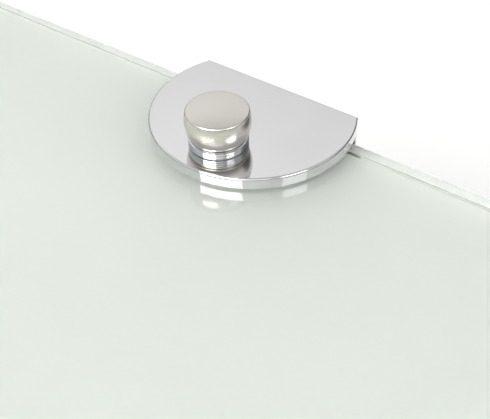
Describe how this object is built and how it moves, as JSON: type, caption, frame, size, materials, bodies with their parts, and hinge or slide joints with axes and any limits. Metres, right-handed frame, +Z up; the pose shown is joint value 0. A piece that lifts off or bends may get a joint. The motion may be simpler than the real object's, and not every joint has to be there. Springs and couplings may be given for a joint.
{
  "type": "wall shelf with brackets",
  "caption": "Glass wall shelf with an opaque lacquered underside, held at its back edge by half-moon chrome clamp brackets with round thumb-screw knobs.",
  "frame": {"origin": "on the wall's surface, midway between the brackets, at the height of the wall screws and of the middle of the pane's thickness", "axes": "+X along the shelf to the right as seen from the room, +Y into the wall, +Z up"},
  "size_m": [0.6, 0.2058, 0.0272],
  "materials": {
    "clear_glass": "clear toughened float glass, 8 mm, faint green body colour, flat-polished arrissed edges",
    "white_lacquer": "opaque white lacquer film on the underside of the glass",
    "chromed_zinc": "polished chrome plate on a zinc die casting",
    "chromed_brass": "polished chrome plate on turned brass",
    "nickel_brass": "bright nickel plate on turned brass, slightly warm",
    "zinc_steel": "bright zinc-plated steel",
    "black_rubber": "matte black rubber",
    "clear_pvc": "translucent soft PVC sheet"
  },
  "bodies": {
    "shelf": {"glass_pane": "clear_glass", "pane_lacquer": "white_lacquer", "left_clamp_body": "chromed_zinc", "left_edge_gasket": "black_rubber", "left_lower_pad": "clear_pvc", "left_upper_liner": "clear_pvc", "left_threaded_collar": "chromed_brass", "right_clamp_body": "chromed_zinc", "right_edge_gasket": "black_rubber", "right_lower_pad": "clear_pvc", "right_upper_liner": "clear_pvc", "right_threaded_collar": "chromed_brass"},
    "left_foot": {"left_pressure_foot": "zinc_steel", "left_foot_pad": "black_rubber"},
    "left_knob": {"left_knob": "nickel_brass", "left_clamp_screw": "zinc_steel"},
    "right_foot": {"right_pressure_foot": "zinc_steel", "right_foot_pad": "black_rubber"},
    "right_knob": {"right_knob": "nickel_brass", "right_clamp_screw": "zinc_steel"}
  },
  "joints": [
    {"name": "left_screw_lift", "type": "slide", "parent": "shelf", "child": "left_foot", "axis": [0, 0, 1], "range_m": [0, 0.0014]},
    {"name": "left_knob_turn", "type": "hinge", "parent": "left_foot", "child": "left_knob", "pos_m": [-0.15, -0.0289, 0], "axis": [0, 0, 1], "range_deg": [0, 450]},
    {"name": "right_screw_lift", "type": "slide", "parent": "shelf", "child": "right_foot", "axis": [0, 0, 1], "range_m": [0, 0.0014]},
    {"name": "right_knob_turn", "type": "hinge", "parent": "right_foot", "child": "right_knob", "pos_m": [0.15, -0.0289, 0], "axis": [0, 0, 1], "range_deg": [0, 450]}
  ],
  "couplings": [
    {"joint": "left_screw_lift", "follows": "left_knob_turn", "m_per_rad": 0.00015915},
    {"joint": "right_screw_lift", "follows": "right_knob_turn", "m_per_rad": 0.00015915}
  ]
}
